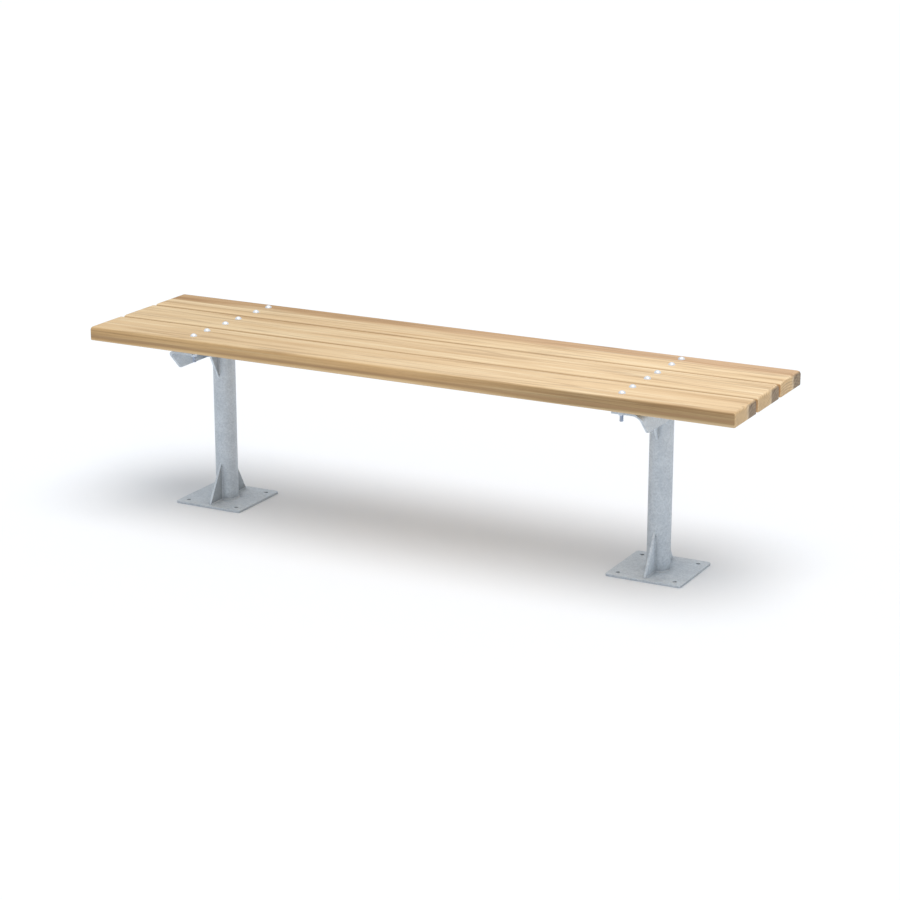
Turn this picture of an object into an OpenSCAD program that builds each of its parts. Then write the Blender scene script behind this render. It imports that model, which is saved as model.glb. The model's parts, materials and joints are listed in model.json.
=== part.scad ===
// Backless park bench: three timber planks bolted down on two welded, galvanised steel legs.
// Millimetres, +Z up, +X along the bench, +Y to the back. The origin is on the ground,
// midway between the two legs. Each leg is drawn once as the right one and mirrored for the left.

/* [Seat] */
// Length of the planks
seat_l = 1829; // [1500:1:2400]
// Height of the planks' top above the ground
seat_h = 500; // [410:1:600]
// Width of one plank
plank_w = 139.7; // [115:0.1:170]
// Thickness of one plank
plank_t = 38.1; // [30:0.1:50]
// Drainage gap between two planks
plank_gap = 12.7; // [6:0.1:25]
// Radius of the eased edges round a plank's top
top_r = 9; // [3:0.5:12]
// Radius of the eased edges round a plank's underside
under_r = 3; // [1:0.5:8]
// Radius of a plank's four corners, seen from above
corner_r = 4; // [2:0.5:10]

/* [Legs] */
// Distance between the two post axes
post_spacing = 1278; // [1000:1:1290]
// Outside diameter of the post's pipe
post_d = 60.3; // [48:0.1:76]
// Wall of the post's pipe
post_wall = 3.9; // [3:0.1:6]
// Thickness of the base plate, the gussets and the cross arm
plate_t = 6.35; // [4:0.05:10]
// Side of the square base plate
base_w = 203.2; // [165:0.1:250]
// Radius of the base plate's corners
base_r = 8; // [2:0.5:20]
// Diameter of the anchor holes
anchor_d = 11.1; // [8:0.1:18]
// From an anchor hole's centre to the edges of the base plate
anchor_edge = 25.4; // [15:0.1:35]
// From a base gusset's toe to the edge of the base plate
gusset_inset = 13.5; // [5:0.5:25]
// Height of a base gusset along the post
base_gusset_h = 102; // [60:1:130]
// Leg length of the weld beads
weld = 3; // [2:0.1:4.5]

/* [Cross arm] */
// How far the arm's ends stay back from the seat's front and back
arm_inset = 7; // [3:0.5:20]
// Depth of the arm's skirt, from the top of the arm
arm_drop = 58; // [45:0.5:75]
// Depth of the notch in the post's head that the skirt is let into
notch = 2.5; // [0.5:0.1:2.8]
// Radius inside the arm's bend
bend_r = 15.9; // [3:0.1:18]
// From the bolt line to the free edge of the arm
arm_edge = 13.8; // [12:0.1:25]
// Height of an arm gusset along the post
arm_gusset_h = 108; // [60:1:130]

/* [Fasteners] */
// Diameter of the carriage bolts
bolt_d = 9.525; // [8:0.005:12]
// Distance between a plank's two bolts on one arm
bolt_pitch = 63.5; // [50:0.1:80]
// Diameter of the domed bolt head
head_d = 18.5; // [16:0.1:28]
// Height of the domed bolt head
head_h = 6.5; // [3.5:0.1:8]
// Length of the square neck below the head
neck_l = 6; // [4:0.1:9]
// Outside diameter of a washer
washer_d = 20.6; // [19:0.1:26]
// Thickness of a washer
washer_t = 1.65; // [1:0.05:3]
// Width of a nut across its flats
nut_w = 14.3; // [13:0.1:19]
// Height of a nut
nut_h = 8.3; // [6:0.1:11]
// How far a bolt's end stands out below its nut
thread_out = 15.6; // [3:0.1:25]
// Gap between a washer and the post
washer_gap = 2.15; // [1:0.05:6]
// Gap round a bolt's shank in wood, steel and washer
shank_gap = 0.6; // [0.3:0.05:1.5]
// How much wider the square neck is than the shank
neck_extra = 0.3; // [0.1:0.05:0.8]
// Gap round a bolt's square neck
neck_gap = 0.15; // [0.05:0.05:0.5]
// Gap between a nut's bore and the thread
thread_gap = 0.05; // [0.02:0.01:0.1]

/* [Hidden] */
$fn = 96;
FRONT = -1;
REAR = 1;
LEFT = -1;
RIGHT = 1;
// How far a cutter runs past the face that it cuts through
past = 1;

// Seat
plank_pitch = plank_w + plank_gap;
seat_w = plank_w + 2 * plank_pitch;
arm_top = seat_h - plank_t;

// Leg
post_r = post_d / 2;
post_top = arm_top - plate_t;
anchor_reach = base_w / 2 - anchor_edge;
gusset_w = base_w / 2 - gusset_inset - post_r;

// Bolt line: the middle plank's washers clear the post, and all washers clear the gussets' beads
clear_of_post = post_r + washer_gap + washer_d / 2;
beside_post = sqrt(max(pow(clear_of_post, 2) - pow(bolt_pitch / 2, 2), 0));
beside_gusset = plate_t / 2 + weld + washer_gap + washer_d / 2;
bolt_line = max(beside_post, beside_gusset);

// Cross arm
arm_l = seat_w - 2 * arm_inset;
skirt_face = post_r - notch;
arm_out = skirt_face + plate_t;
arm_in = bolt_line + arm_edge;
arm_bend = bend_r + plate_t;
skirt_bottom = arm_top - arm_drop;

// Fasteners
hole_d = bolt_d + 2 * shank_gap;
neck_w = bolt_d + neck_extra;
nut_top = post_top - washer_t;
bolt_tip = nut_top - nut_h - thread_out;
tip_chamfer = bolt_d / 9;
nut_face_d = 0.96 * nut_w;
dome_r = (pow(head_d / 2, 2) + pow(head_h, 2)) / (2 * head_h);
bolt_ys = [for (row = [-1:1], side = [-1, 1]) row * plank_pitch + side * bolt_pitch / 2];

TIMBER = [0.87, 0.73, 0.53];
GALVANISED = [0.66, 0.70, 0.74];
BEAD = [0.60, 0.64, 0.68];
BRIGHT_ZINC = [0.88, 0.89, 0.91];
PLAIN_ZINC = [0.74, 0.78, 0.83];

// ---- Places ----

// Puts a leg's piece, drawn round the post's axis with +X outwards, on one leg
module at_leg(side) {
    mirror([side < 0 ? 1 : 0, 0, 0])
        translate([post_spacing / 2, 0, 0])
            children();
}

// Stands a piece on top of the base plate
module on_base() {
    translate([0, 0, plate_t]) children();
}

// Hangs a piece, drawn as if it stood on z = 0, from the underside of the cross arm
module under_arm() {
    translate([0, 0, post_top]) mirror([0, 0, 1]) children();
}

// Puts a piece on each bolt's axis of one leg
module at_bolts() {
    for (y = bolt_ys)
        translate([-bolt_line, y, 0])
            children();
}

// ---- Timber ----

// A board's outline standing on its underside, with eased edges
module eased_outline(w, h) {
    translate([-w / 2 + top_r, 0]) square([w - 2 * top_r, h]);
    translate([-w / 2, under_r]) square([w, h - top_r - under_r]);
    translate([-w / 2 + under_r, 0]) square([w - 2 * under_r, h - top_r]);
    for (side = [-1, 1]) {
        translate([side * (w / 2 - top_r), h - top_r]) circle(top_r);
        translate([side * (w / 2 - under_r), under_r]) circle(under_r);
    }
}

// A rectangle about its centre with round corners
module round_rect(l, w, r) {
    square([l - 2 * r, w], center = true);
    square([l, w - 2 * r], center = true);
    for (x = [-1, 1], y = [-1, 1])
        translate([x * (l / 2 - r), y * (w / 2 - r)]) circle(r);
}

// A board along X, eased along its sides, over its ends and at its corners
module board() {
    intersection() {
        rotate([90, 0, 90]) linear_extrude(seat_l, center = true) eased_outline(plank_w, plank_t);
        rotate([90, 0, 0]) linear_extrude(plank_w, center = true) eased_outline(seat_l, plank_t);
        linear_extrude(plank_t) round_rect(seat_l, plank_w, corner_r);
    }
}

// The hole for one bolt, with the pocket that its square neck is drawn into
module plank_hole() {
    pocket_w = neck_w + 2 * neck_gap;
    translate([0, 0, -past]) cylinder(h = plank_t + 2 * past, d = hole_d);
    translate([-pocket_w / 2, -pocket_w / 2, plank_t - neck_l - neck_gap])
        cube([pocket_w, pocket_w, neck_l + neck_gap + past]);
}

// A plank of the seat: row -1 is the front one, 0 the middle one and 1 the rear one
module plank(row) {
    color(TIMBER)
        translate([0, row * plank_pitch, arm_top])
            difference() {
                board();
                for (leg = [-1, 1], side = [-1, 1])
                    translate([leg * (post_spacing / 2 - bolt_line), side * bolt_pitch / 2, 0])
                        plank_hole();
            }
}

// ---- Leg, drawn round the post's axis ----

module base_plate() {
    color(GALVANISED)
        linear_extrude(plate_t)
            difference() {
                round_rect(base_w, base_w, base_r);
                for (x = [-1, 1], y = [-1, 1])
                    translate([x * anchor_reach, y * anchor_reach]) circle(d = anchor_d);
            }
}

// Everything of the arm's section that lies inset below and inside its outer faces
module arm_section_fill(inset) {
    low = -arm_drop - past;
    translate([-arm_in - past, low])
        square([arm_out + arm_in + past - arm_bend, -low - inset]);
    translate([-arm_in - past, low])
        square([arm_out + arm_in + past - inset, -low - arm_bend]);
    translate([arm_out - arm_bend, -arm_bend]) circle(arm_bend - inset);
}

// The bent plate's L section: flange on top, skirt on the outside
module arm_section() {
    difference() {
        intersection() {
            arm_section_fill(0);
            translate([-arm_in, -arm_drop]) square([arm_in + arm_out, arm_drop]);
        }
        arm_section_fill(plate_t);
    }
}

// The arm seen from the bench's end: full length on top, the skirt's ends cut at 45 degrees
module arm_outline() {
    half = arm_l / 2;
    cut = arm_drop - plate_t;
    polygon([
        [-half, 0], [-half, -plate_t], [cut - half, -arm_drop],
        [half - cut, -arm_drop], [half, -plate_t], [half, 0]
    ]);
}

module arm_body() {
    translate([0, 0, arm_top])
        intersection() {
            rotate([90, 0, 0]) linear_extrude(arm_l, center = true) arm_section();
            translate([-arm_in - past, 0, 0]) rotate([90, 0, 90])
                linear_extrude(arm_in + arm_out + 2 * past) arm_outline();
        }
}

module cross_arm() {
    color(GALVANISED)
        difference() {
            arm_body();
            at_bolts() translate([0, 0, post_top - past]) cylinder(h = plate_t + 2 * past, d = hole_d);
        }
}

// Everything above the skirt's lower edge that lies outside the arm's inner faces
module head_cut() {
    translate([0, 0, arm_top])
        rotate([90, 0, 0]) linear_extrude(2 * post_d, center = true)
            difference() {
                translate([-post_d, -arm_drop]) square([2 * post_d, arm_drop + past]);
                arm_section_fill(plate_t);
            }
}

// The post stands on the base plate, and its head is shaped to the inside of the cross arm
module post() {
    color(GALVANISED)
        difference() {
            translate([0, 0, plate_t]) cylinder(h = arm_top - plate_t, r = post_r);
            translate([0, 0, plate_t - past])
                cylinder(h = arm_top - plate_t + 2 * past, r = post_r - post_wall);
            head_cut();
        }
}

// Turns what is drawn towards the back of the bench to one end of the arm
module facing(end) {
    mirror([0, end < 0 ? 1 : 0, 0]) children();
}

// A three-cornered gusset, h high, standing on z = 0 behind the post and coped to it
module gusset(h) {
    difference() {
        rotate([90, 0, 90]) linear_extrude(plate_t, center = true)
            polygon([[0, 0], [post_r + gusset_w, 0], [post_r, h], [0, h]]);
        translate([0, 0, -past]) cylinder(h = h + 2 * past, r = post_r);
    }
}

module base_gusset(end) {
    color(GALVANISED) on_base() facing(end) gusset(base_gusset_h);
}

module arm_gusset(end) {
    color(GALVANISED) under_arm() facing(end) gusset(arm_gusset_h);
}

// ---- Weld beads ----

// A bead all round the post where it meets z = 0, open where the gussets pass
module post_bead() {
    difference() {
        rotate_extrude() polygon([[post_r, 0], [post_r + weld, 0], [post_r, weld]]);
        cube([plate_t, 2 * (post_r + weld + past), 2 * (weld + past)], center = true);
    }
}

// The beads on both faces of a rear gusset, h high, along its foot and up the post.
// The upright ones stop where the gusset is still wider than the bead.
module gusset_beads(h) {
    foot = post_r + gusset_w - weld;
    upright = h * (1 - 2 * weld / gusset_w);
    beside = plate_t / 2;
    for (face = [0, 1])
        mirror([face, 0, 0])
            difference() {
                union() {
                    translate([0, foot, 0]) rotate([90, 0, 0]) linear_extrude(foot)
                        polygon([[beside, 0], [beside + weld, 0], [beside, weld]]);
                    linear_extrude(upright)
                        polygon([
                            [beside, 0], [beside + weld, 0],
                            [beside + weld, sqrt(pow(post_r, 2) - pow(beside + weld, 2))],
                            [beside, post_r + weld]
                        ]);
                }
                translate([0, 0, -past]) cylinder(h = h + past, r = post_r);
            }
}

module base_welds() {
    color(BEAD)
        on_base() {
            post_bead();
            for (end = [FRONT, REAR]) facing(end) gusset_beads(base_gusset_h);
        }
}

// The stretch of the post's bead under the arm, on the inner side between the washers
module inner_stitch() {
    half = bolt_pitch / 2 - washer_d / 2 - washer_gap;
    intersection() {
        post_bead();
        translate([-post_r - weld - past, -half, 0]) cube([post_r, 2 * half, weld]);
    }
}

// The beads where the skirt is let into the post: up both sides and round under its edge
module notch_beads() {
    side_h = arm_drop - arm_bend;
    notch_y = sqrt(pow(post_r, 2) - pow(skirt_face, 2));
    outer_y = notch_y + weld;
    translate([0, 0, skirt_bottom]) {
        for (end = [FRONT, REAR])
            facing(end)
                difference() {
                    translate([0, 0, -weld / 2]) linear_extrude(side_h + weld / 2)
                        polygon([
                            [skirt_face, 0], [skirt_face, outer_y],
                            [sqrt(pow(post_r, 2) - pow(outer_y, 2)), outer_y]
                        ]);
                    translate([0, 0, -weld]) cylinder(h = side_h + 2 * weld, r = post_r);
                }
        intersection() {
            mirror([0, 0, 1])
                rotate_extrude() polygon([[post_r, 0], [post_r + weld, 0], [post_r, weld]]);
            translate([skirt_face - weld, -post_d, -2 * weld])
                cube([plate_t + weld, 2 * post_d, 2 * weld]);
        }
    }
}

module arm_welds() {
    color(BEAD) {
        under_arm() {
            inner_stitch();
            for (end = [FRONT, REAR]) facing(end) gusset_beads(arm_gusset_h);
        }
        notch_beads();
    }
}

// ---- Fasteners ----

// A domed, square-necked bolt through one plank and the arm
module carriage_bolt() {
    translate([0, 0, seat_h]) rotate_extrude()
        intersection() {
            translate([0, head_h - dome_r]) circle(dome_r);
            square([head_d / 2, head_h]);
        }
    translate([-neck_w / 2, -neck_w / 2, seat_h - neck_l])
        cube([neck_w, neck_w, neck_l + head_h / 3]);
    rotate_extrude()
        polygon([
            [0, bolt_tip], [bolt_d / 2 - tip_chamfer, bolt_tip],
            [bolt_d / 2, bolt_tip + tip_chamfer], [bolt_d / 2, seat_h], [0, seat_h]
        ]);
}

module carriage_bolts() {
    color(BRIGHT_ZINC) at_bolts() carriage_bolt();
}

module washers() {
    color(PLAIN_ZINC)
        at_bolts()
            translate([0, 0, nut_top]) linear_extrude(washer_t)
                difference() {
                    circle(d = washer_d);
                    circle(d = hole_d);
                }
}

// A hexagon nut hanging from z = 0, with its corners chamfered at both ends
module nut() {
    corner_d = nut_w / cos(30);
    reach = corner_d - nut_face_d;
    rise = reach * tan(30);
    translate([0, 0, -nut_h])
        difference() {
            intersection() {
                cylinder(h = nut_h, d = corner_d, $fn = 6);
                rotate_extrude()
                    polygon([
                        [0, 0], [nut_face_d / 2, 0], [nut_face_d / 2 + reach, rise],
                        [nut_face_d / 2 + reach, nut_h - rise], [nut_face_d / 2, nut_h], [0, nut_h]
                    ]);
            }
            translate([0, 0, -past]) cylinder(h = nut_h + 2 * past, d = bolt_d + 2 * thread_gap);
        }
}

// The nuts, each left at its own angle by the spanner
module nuts() {
    spanner_turn = 23;
    color(PLAIN_ZINC)
        for (i = [0:len(bolt_ys) - 1])
            translate([-bolt_line, bolt_ys[i], nut_top]) rotate(spanner_turn * i) nut();
}

plank(-1);  // front_plank
plank(0);  // middle_plank
plank(1);  // rear_plank

at_leg(LEFT) base_plate();  // left_base_plate
at_leg(LEFT) post();  // left_post
at_leg(LEFT) base_gusset(FRONT);  // left_front_base_gusset
at_leg(LEFT) base_gusset(REAR);  // left_rear_base_gusset
at_leg(LEFT) base_welds();  // left_base_welds
at_leg(LEFT) cross_arm();  // left_cross_arm
at_leg(LEFT) arm_gusset(FRONT);  // left_front_arm_gusset
at_leg(LEFT) arm_gusset(REAR);  // left_rear_arm_gusset
at_leg(LEFT) arm_welds();  // left_arm_welds
at_leg(LEFT) carriage_bolts();  // left_carriage_bolts
at_leg(LEFT) washers();  // left_washers
at_leg(LEFT) nuts();  // left_nuts

at_leg(RIGHT) base_plate();  // right_base_plate
at_leg(RIGHT) post();  // right_post
at_leg(RIGHT) base_gusset(FRONT);  // right_front_base_gusset
at_leg(RIGHT) base_gusset(REAR);  // right_rear_base_gusset
at_leg(RIGHT) base_welds();  // right_base_welds
at_leg(RIGHT) cross_arm();  // right_cross_arm
at_leg(RIGHT) arm_gusset(FRONT);  // right_front_arm_gusset
at_leg(RIGHT) arm_gusset(REAR);  // right_rear_arm_gusset
at_leg(RIGHT) arm_welds();  // right_arm_welds
at_leg(RIGHT) carriage_bolts();  // right_carriage_bolts
at_leg(RIGHT) washers();  // right_washers
at_leg(RIGHT) nuts();  // right_nuts
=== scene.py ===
"""Backless park bench: three timber planks bolted down on two welded, galvanised pedestal legs.

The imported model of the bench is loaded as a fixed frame. The operators below model the pieces that
show around it, give every piece its finish and set the stage. Lengths are in metres, +Z is up, +X
runs along the bench and +Y to its back.
"""

import json
import math

import bpy
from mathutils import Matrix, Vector


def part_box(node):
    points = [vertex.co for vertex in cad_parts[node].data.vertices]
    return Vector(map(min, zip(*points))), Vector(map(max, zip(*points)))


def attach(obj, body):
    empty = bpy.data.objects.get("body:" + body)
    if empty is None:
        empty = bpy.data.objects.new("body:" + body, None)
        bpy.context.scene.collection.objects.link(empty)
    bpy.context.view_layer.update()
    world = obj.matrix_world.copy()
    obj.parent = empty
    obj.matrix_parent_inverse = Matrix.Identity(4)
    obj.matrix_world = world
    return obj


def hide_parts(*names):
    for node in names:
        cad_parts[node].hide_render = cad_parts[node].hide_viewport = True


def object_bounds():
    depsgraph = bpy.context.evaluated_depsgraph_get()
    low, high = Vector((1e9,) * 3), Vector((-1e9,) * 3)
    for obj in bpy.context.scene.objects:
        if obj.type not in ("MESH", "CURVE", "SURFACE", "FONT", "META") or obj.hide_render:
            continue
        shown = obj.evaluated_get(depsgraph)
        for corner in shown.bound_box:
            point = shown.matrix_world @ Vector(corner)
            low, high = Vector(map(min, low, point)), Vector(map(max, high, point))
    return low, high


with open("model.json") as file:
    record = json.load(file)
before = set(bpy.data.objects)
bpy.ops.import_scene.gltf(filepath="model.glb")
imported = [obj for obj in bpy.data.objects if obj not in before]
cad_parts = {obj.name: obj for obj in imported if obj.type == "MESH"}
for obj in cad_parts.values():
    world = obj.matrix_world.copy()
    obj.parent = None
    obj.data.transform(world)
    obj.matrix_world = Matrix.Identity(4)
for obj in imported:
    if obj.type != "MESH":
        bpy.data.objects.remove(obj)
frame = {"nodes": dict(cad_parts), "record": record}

CAD_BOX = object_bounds()
BODY = "root"

bl_info = {
    "name": "Backless Park Bench",
    "version": (1, 0, 0),
    "blender": (4, 5, 0),
    "location": "View3D > Sidebar > Bench",
    "description": "Models a timber and galvanised steel bench around its packed frame",
    "category": "Object",
}

MM = 0.001
SIDES = {"left": -1, "right": 1}
ENDS = {"front": -1, "rear": 1}
PLANKS = ("front_plank", "middle_plank", "rear_plank")

NEAR = 0.1 * MM  # points this close to a plane count as on it
MERGE = 0.001 * MM  # points this close together become one
SHARP = math.radians(40)  # faces that meet at more than this have a sharp edge


# ---- Where things are, as the frame has them ----

def centre(node):
    """The middle of a CAD node's box."""
    low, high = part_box(node)
    return (low + high) / 2


def plate_thickness():
    low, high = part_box("left_base_plate")
    return high.z - low.z


def seat_top():
    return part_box("middle_plank")[1].z


def shank_radius():
    return bpy.context.scene.bench_sizes.shank / 2


def bolt_places(side):
    """The axes of a leg's six bolts, as (x, y)."""
    low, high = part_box(f"{side}_carriage_bolts")
    head_r = (high.x - low.x) / 2
    beside_middle = high.y - head_r - centre("rear_plank").y
    offsets = (-beside_middle, beside_middle)
    return [(low.x + head_r, centre(plank).y + offset) for plank in PLANKS for offset in offsets]


# ---- Modelling by hand ----

def select_nothing():
    if bpy.context.mode != "OBJECT":
        bpy.ops.object.mode_set(mode="OBJECT")
    bpy.ops.object.select_all(action="DESELECT")


def only(piece):
    """Makes a piece the only selected one, and the active one."""
    select_nothing()
    piece.select_set(True)
    bpy.context.view_layer.objects.active = piece


def named(name):
    """Names the new piece and applies its place, turn and size."""
    piece = bpy.context.object
    piece.name = name
    piece.data.name = name
    only(piece)
    bpy.ops.object.transform_apply(location=True, rotation=True, scale=True)
    return piece


def block(name, low, high):
    """A cuboid between two corners."""
    select_nothing()
    low, high = Vector(low), Vector(high)
    bpy.ops.mesh.primitive_cube_add(size=1, location=(low + high) / 2, scale=high - low)
    return named(name)


def rod(name, place, radius, bottom, top):
    """An upright cylinder round (x, y)."""
    select_nothing()
    bpy.ops.mesh.primitive_cylinder_add(
        vertices=48, radius=radius, depth=top - bottom, location=(*place, (bottom + top) / 2)
    )
    return named(name)


def join(pieces):
    """Joins pieces into the first one."""
    only(pieces[0])
    for piece in pieces:
        piece.select_set(True)
    if len(pieces) > 1:
        bpy.ops.object.join()
    return bpy.context.object


def edit(piece, kind="EDGE"):
    """Opens a piece in edit mode with nothing selected."""
    only(piece)
    bpy.ops.object.mode_set(mode="EDIT")
    bpy.ops.mesh.select_mode(type=kind)
    bpy.ops.mesh.select_all(action="DESELECT")


def select_edges(piece, test):
    """Opens a piece in edit mode with the edges selected whose two ends pass the test."""
    edit(piece)
    bpy.ops.object.mode_set(mode="OBJECT")
    points = piece.data.vertices
    for edge in piece.data.edges:
        edge.select = test(*(points[i].co for i in edge.vertices))
    bpy.ops.object.mode_set(mode="EDIT")


def select_faces(piece, test):
    """Opens a piece in edit mode with the faces selected that pass the test."""
    edit(piece, "FACE")
    bpy.ops.object.mode_set(mode="OBJECT")
    for face in piece.data.polygons:
        face.select = test(face)
    bpy.ops.object.mode_set(mode="EDIT")


def select_points(piece, test):
    """Opens a piece in edit mode with the points selected that pass the test."""
    edit(piece, "VERT")
    bpy.ops.object.mode_set(mode="OBJECT")
    for point in piece.data.vertices:
        point.select = test(point.co)
    bpy.ops.object.mode_set(mode="EDIT")


def copied(piece, place=(0, 0, 0), turn=0.0, scale=(1, 1, 1)):
    """A copy of a piece with its own mesh, moved, turned about Z or mirrored."""
    only(piece)
    bpy.ops.object.duplicate(linked=False)
    copy = bpy.context.object
    copy.location = place
    copy.rotation_euler.z = turn
    copy.scale = scale
    return named(piece.name)


def modify(piece, kind, **settings):
    """Adds a modifier and applies it."""
    only(piece)
    modifier = piece.modifiers.new(kind.title(), kind)
    for key, value in settings.items():
        setattr(modifier, key, value)
    bpy.ops.object.modifier_apply(modifier=modifier.name)


def combine(piece, other, operation="DIFFERENCE"):
    """Cuts another solid out of a piece, or keeps what both share, and removes the other."""
    modify(piece, "BOOLEAN", object=other, operation=operation, solver="EXACT")
    bpy.data.objects.remove(other)


def slice_off(piece, point, outward):
    """Cuts off everything that lies outwards of a plane, and closes the cut."""
    edit(piece)
    bpy.ops.mesh.select_all(action="SELECT")
    bpy.ops.mesh.bisect(plane_co=point, plane_no=outward, use_fill=True, clear_outer=True)
    bpy.ops.object.mode_set(mode="OBJECT")


def soften(piece, width):
    """Rounds a piece's sharp edges."""
    modify(piece, "BEVEL", width=width, segments=2, limit_method="ANGLE", angle_limit=SHARP)


def finish_mesh(piece):
    """Smooth shading that keeps flat faces flat."""
    edit(piece)
    bpy.ops.mesh.select_all(action="SELECT")
    bpy.ops.mesh.remove_doubles(threshold=MERGE)
    bpy.ops.mesh.normals_make_consistent(inside=False)
    only(piece)
    bpy.ops.object.shade_smooth_by_angle(angle=SHARP)
    modify(piece, "WEIGHTED_NORMAL", keep_sharp=True, weight=80)


def stands_for(piece, slot, *nodes):
    """Puts a finished piece on the bench in the place of CAD nodes."""
    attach(piece, BODY)
    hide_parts(*nodes)


# ---- Finishes ----

class Finish:
    """A material with short ways to wire its nodes."""

    def __init__(self, name):
        self.material = bpy.data.materials.new(name)
        self.material.use_nodes = True
        self.tree = self.material.node_tree
        self.shader = self.tree.nodes["Principled BSDF"]

    def put(self, node, sockets):
        for key, value in sockets.items():
            if isinstance(value, bpy.types.NodeSocket):
                self.tree.links.new(value, node.inputs[key])
            else:
                node.inputs[key].default_value = value

    def node(self, kind, sockets, **settings):
        node = self.tree.nodes.new("ShaderNode" + kind)
        for key, value in settings.items():
            setattr(node, key, value)
        self.put(node, sockets)
        return node

    def maths(self, operation, a, b=0.0, clamp=False):
        return self.node("Math", {0: a, 1: b}, operation=operation, use_clamp=clamp).outputs[0]

    def vector(self, operation, a, b=(0, 0, 0), output="Vector"):
        return self.node("VectorMath", {0: a, 1: b}, operation=operation).outputs[output]

    def noise(self, vector, scale=1.0, detail=2.0, rough=0.5, output="Fac"):
        sockets = {"Vector": vector, "Scale": scale, "Detail": detail, "Roughness": rough}
        return self.node("TexNoise", sockets).outputs[output]

    def ramp(self, value, stops, smooth=False):
        """A ramp through (position, grey) stops."""
        node = self.node("ValToRGB", {0: value})
        ramp = node.color_ramp
        ramp.interpolation = "EASE" if smooth else "LINEAR"
        while len(ramp.elements) < len(stops):
            ramp.elements.new(1.0)
        for element, (position, grey) in zip(ramp.elements, stops):
            element.position = position
            element.color = (grey, grey, grey, 1)
        return node.outputs[0]

    def from_middle(self, coordinate):
        """A coordinate for a ramp, which reads 0.5 in the middle of the plank and 1 at 0.5 m from it."""
        return self.maths("ADD", coordinate, 0.5)

    def tinted(self, colour, tint):
        return self.mix(1.0, colour, tint, "MULTIPLY")

    def mix(self, share, a, b, blend="MIX"):
        """Mixes two colours; a colour may be a socket or three numbers."""
        a, b = (c if isinstance(c, bpy.types.NodeSocket) else (*c, 1) for c in (a, b))
        node = self.node("Mix", {0: share, 6: a, 7: b}, data_type="RGBA", blend_type=blend)
        return node.outputs[2]

    def stretch(self, vector, along, across, up):
        """Coordinates for a pattern drawn out along the X axis."""
        return self.vector("MULTIPLY", vector, (along, across, up))

    def swapped(self, vector):
        """The same coordinates with Y and Z changed over."""
        parts = self.node("SeparateXYZ", {0: vector}).outputs
        return self.node("CombineXYZ", {0: parts[0], 1: parts[2], 2: parts[1]}).outputs[0]

    def bump(self, height, strength, distance):
        sockets = {"Height": height, "Strength": strength, "Distance": distance}
        return self.node("Bump", sockets).outputs[0]


def timber(name, place, pith, turn, warmth, outermost):
    """Sawn and sanded timber of one plank: growth rings round the pith of its log, fibres along X.

    place is the middle of the plank and pith where the log's middle lies from there. turn sets this
    plank's own pattern, warmth is how much heartwood its rear half shows, and outermost says whether
    its front face is the front of the seat."""
    m = Finish(name)
    local = m.vector("SUBTRACT", m.node("TexCoord", {}).outputs["Object"], tuple(place))
    own = m.vector("ADD", local, (turn, 0, 0))
    along, across, up = m.node("SeparateXYZ", {0: local}).outputs
    facing = m.node("SeparateXYZ", {0: m.node("NewGeometry", {}).outputs["Normal"]}).outputs
    # painted light: a ramp from 0 at the left end to 1 at the right, along which the seat is painted lighter
    painted_light_to_right = m.ramp(m.from_middle(along), [(0.0, 0.0), (1.0, 1.0)])

    late_wood = growth_rings(m, local, own, pith)
    streak = m.noise(m.stretch(own, 1.7, 42, 95), detail=3, rough=0.62)
    fibre = m.noise(m.stretch(own, 9, 420, 620), detail=2, rough=0.6)
    grain = long_grain(m, own, painted_light_to_right, late_wood, streak, fibre)
    grain = heart_side(m, grain, own, across, painted_light_to_right, warmth)
    if outermost:
        grain = seat_front(m, grain, own, along, up, facing[1])
    else:
        grain = inner_edges(m, grain, facing[1])
    end = m.ramp(m.maths("ABSOLUTE", facing[0]), [(0.5, 0.0), (0.95, 1.0)])
    colour = m.mix(end, grain, cut_end(m, own, across, late_wood))

    relief = m.maths("ADD", m.maths("MULTIPLY", fibre, 0.7), m.maths("MULTIPLY", late_wood, 0.35))
    m.put(m.shader, {
        "Base Color": colour,
        "Roughness": m.ramp(streak, [(0.3, 0.5), (0.8, 0.64)]),
        "Specular IOR Level": 0.3,
        "Normal": m.bump(relief, 0.35, 0.0004),
    })
    return m.material


def growth_rings(m, local, own, pith):
    """How far each point is into late wood, in rings that wander slowly along the plank."""
    wander = m.noise(m.stretch(own, 0.9, 4, 4), detail=1, output="Color")
    wander = m.vector("MULTIPLY", m.vector("SUBTRACT", wander, (0.5, 0.5, 0.5)), (0, 0.05, 0.03))
    from_pith = m.vector("ADD", m.vector("SUBTRACT", local, (0, *pith)), wander)
    radius = m.vector("LENGTH", m.vector("MULTIPLY", from_pith, (0, 1, 1)), output="Value")
    ring = m.maths("FRACT", m.maths("DIVIDE", radius, bpy.context.scene.bench_sizes.ring_width))
    return m.ramp(ring, [(0.0, 0.0), (0.55, 0.15), (0.85, 1.0), (0.95, 0.85), (1.0, 0.0)])


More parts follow.
